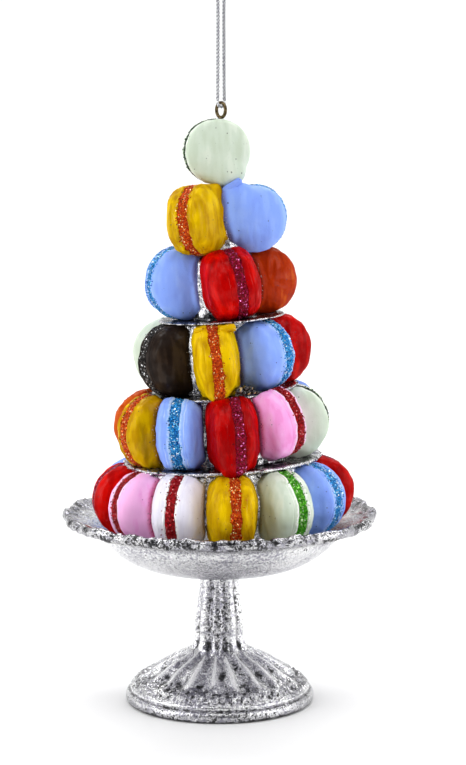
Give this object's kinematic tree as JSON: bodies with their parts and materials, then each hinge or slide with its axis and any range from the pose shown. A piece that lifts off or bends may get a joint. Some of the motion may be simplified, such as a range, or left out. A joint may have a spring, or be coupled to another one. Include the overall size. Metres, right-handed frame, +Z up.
{
  "type": "macaron tower ornament",
  "caption": "Hanging ornament of a macaron tower: rings of bright macarons on edge round a silver core, on a footed silver bowl, with a wire eye and cord loop on top.",
  "frame": {"origin": "centre of the foot's underside", "axes": "+Z up through the stem to the eye, +Y towards the back, -Y is the side that the picture shows"},
  "size_m": [0.0746, 0.0734, 0.1754],
  "materials": {
    "silver": "silver paint over cast resin, darkened in the hollows",
    "lemon": "glossy yellow paint over cast resin",
    "mint": "glossy pale green paint over cast resin",
    "sky": "glossy light blue paint over cast resin",
    "cherry": "glossy red paint over cast resin",
    "tangerine": "glossy burnt orange paint over cast resin",
    "vanilla": "glossy white paint over cast resin",
    "chocolate": "glossy dark brown paint over cast resin",
    "rose": "glossy pink paint over cast resin",
    "bronze": "dull antique bronze wire",
    "silver_thread": "braided metallic thread"
  },
  "bodies": {
    "root": {"stand": "silver", "tower_core": "silver", "tier_plate_2": "silver", "tier_plate_3": "silver", "tier_plate_4": "silver", "macaron_1_01_lemon": "lemon", "macaron_1_02_mint": "mint", "macaron_1_03_sky": "sky", "macaron_1_04_cherry": "cherry", "macaron_1_05_tangerine": "tangerine", "macaron_1_06_vanilla": "vanilla", "macaron_1_07_chocolate": "chocolate", "macaron_1_08_rose": "rose", "macaron_1_09_sky": "sky", "macaron_1_10_cherry": "cherry", "macaron_1_11_rose": "rose", "macaron_1_12_vanilla": "vanilla", "macaron_2_01_cherry": "cherry", "macaron_2_02_rose": "rose", "macaron_2_03_mint": "mint", "macaron_2_04_sky": "sky", "macaron_2_05_lemon": "lemon", "macaron_2_06_cherry": "cherry", "macaron_2_07_vanilla": "vanilla", "macaron_2_08_tangerine": "tangerine", "macaron_2_09_lemon": "lemon", "macaron_2_10_sky": "sky", "macaron_3_01_lemon": "lemon", "macaron_3_02_sky": "sky", "macaron_3_03_cherry": "cherry", "macaron_3_04_rose": "rose", "macaron_3_05_mint": "mint", "macaron_3_06_chocolate": "chocolate", "macaron_4_01_cherry": "cherry", "macaron_4_02_tangerine": "tangerine", "macaron_4_03_mint": "mint", "macaron_4_04_sky": "sky", "macaron_5_01_lemon": "lemon", "macaron_5_02_sky": "sky", "macaron_5_03_cherry": "cherry", "macaron_6_01_mint": "mint", "wire_eye": "bronze", "hanging_cord": "silver_thread", "cord_bight": "silver_thread"}
  },
  "joints": []
}
